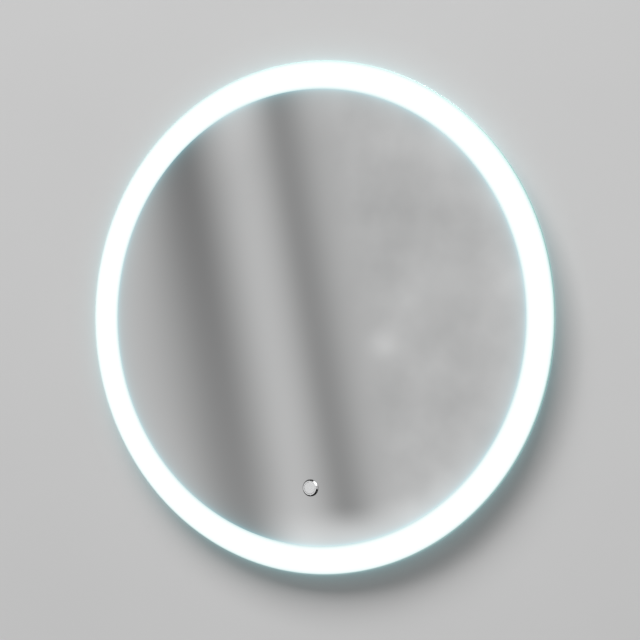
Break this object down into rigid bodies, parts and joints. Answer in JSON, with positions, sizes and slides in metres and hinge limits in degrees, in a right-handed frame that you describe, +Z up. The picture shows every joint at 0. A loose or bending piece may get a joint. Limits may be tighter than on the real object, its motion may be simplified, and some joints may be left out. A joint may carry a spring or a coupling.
{
  "type": "lighted bathroom mirror",
  "caption": "Round wall mirror with a flat light band at its rim, a metal push button low on the glass and a shallow steel tray behind it that hangs on screws.",
  "frame": {"origin": "the mirror's axis in the plane of the wall it hangs on", "axes": "+X to the right, +Z up, +Y into the wall; the glass faces -Y"},
  "size_m": [0.5999, 0.0385, 0.6],
  "materials": {
    "clear_glass": "polished float glass with ground edges",
    "silver": "silvered and sealed",
    "opal_acrylic": "opal, lit from behind",
    "foam": "closed-cell foam",
    "white_powder_coat": "fine satin powder coat",
    "mill_aluminium": "mill finish",
    "foam_tape": "double-sided foam tape",
    "strip_board": "white flexible circuit",
    "light_chip": "white light source under clear resin",
    "white_plastic": "moulded, matt",
    "grey_plastic": "moulded, matt",
    "black_plastic": "moulded, matt",
    "zinc_steel": "zinc plated",
    "screw_steel": "zinc plated",
    "black_rubber": "moulded rubber",
    "brass_plain": "bare brass",
    "circuit_board": "green solder mask",
    "coil_yellow": "taped winding on ferrite",
    "can_sleeve": "shrunk sleeve",
    "brown_wire": "flexible insulation",
    "blue_wire": "flexible insulation",
    "green_yellow_wire": "flexible insulation",
    "red_wire": "flexible insulation",
    "black_wire": "flexible insulation",
    "white_wire": "flexible insulation",
    "button_chrome": "polished plate",
    "button_satin": "satin brushed",
    "spring_steel": "drawn spring wire"
  },
  "bodies": {
    "mirror": {"mirror_glass": "clear_glass", "silver_coating": "silver", "band_diffuser": "opal_acrylic", "rim_seal": "foam", "rear_tray": "white_powder_coat", "led_carrier_ring": "mill_aluminium", "carrier_tape": "foam_tape", "carrier_rivets": "mill_aluminium", "led_strip": "strip_board", "led_chips": "light_chip", "led_connector": "white_plastic", "hanger_plate_left": "zinc_steel", "hanger_plate_right": "zinc_steel", "hanger_rivets": "mill_aluminium", "service_cover": "white_powder_coat", "cover_screws": "screw_steel", "cable_grommet": "black_rubber", "cable_clamp": "white_plastic", "clamp_screws": "screw_steel", "terminal_block": "white_plastic", "terminal_screws": "brass_plain", "driver_base": "grey_plastic", "driver_lid": "grey_plastic", "driver_board": "circuit_board", "driver_plugs": "white_plastic", "driver_transformer": "coil_yellow", "driver_capacitors": "can_sleeve", "driver_screws": "screw_steel", "earth_stud": "screw_steel", "earth_lug": "brass_plain", "earth_nut": "screw_steel", "lead_live": "brown_wire", "lead_neutral": "blue_wire", "lead_earth": "green_yellow_wire", "lead_strip_positive": "red_wire", "lead_strip_negative": "black_wire", "lead_switch_feed": "white_wire", "lead_switch_return": "white_wire", "wire_clips": "white_plastic", "button_bezel": "button_chrome", "button_seal": "black_rubber", "button_washer": "screw_steel", "button_nut": "screw_steel", "button_spring": "spring_steel", "switch_body": "black_plastic", "switch_blades": "brass_plain"},
    "button": {"button_cap": "button_satin", "button_circlip": "spring_steel"}
  },
  "joints": [
    {"name": "button_press", "type": "slide", "parent": "mirror", "child": "button", "axis": [0, 1, 0], "range_m": [0, 0.002], "stiffness_N_per_m": 1000, "springref_m": -0.0015, "deforming": ["button_spring"]}
  ]
}
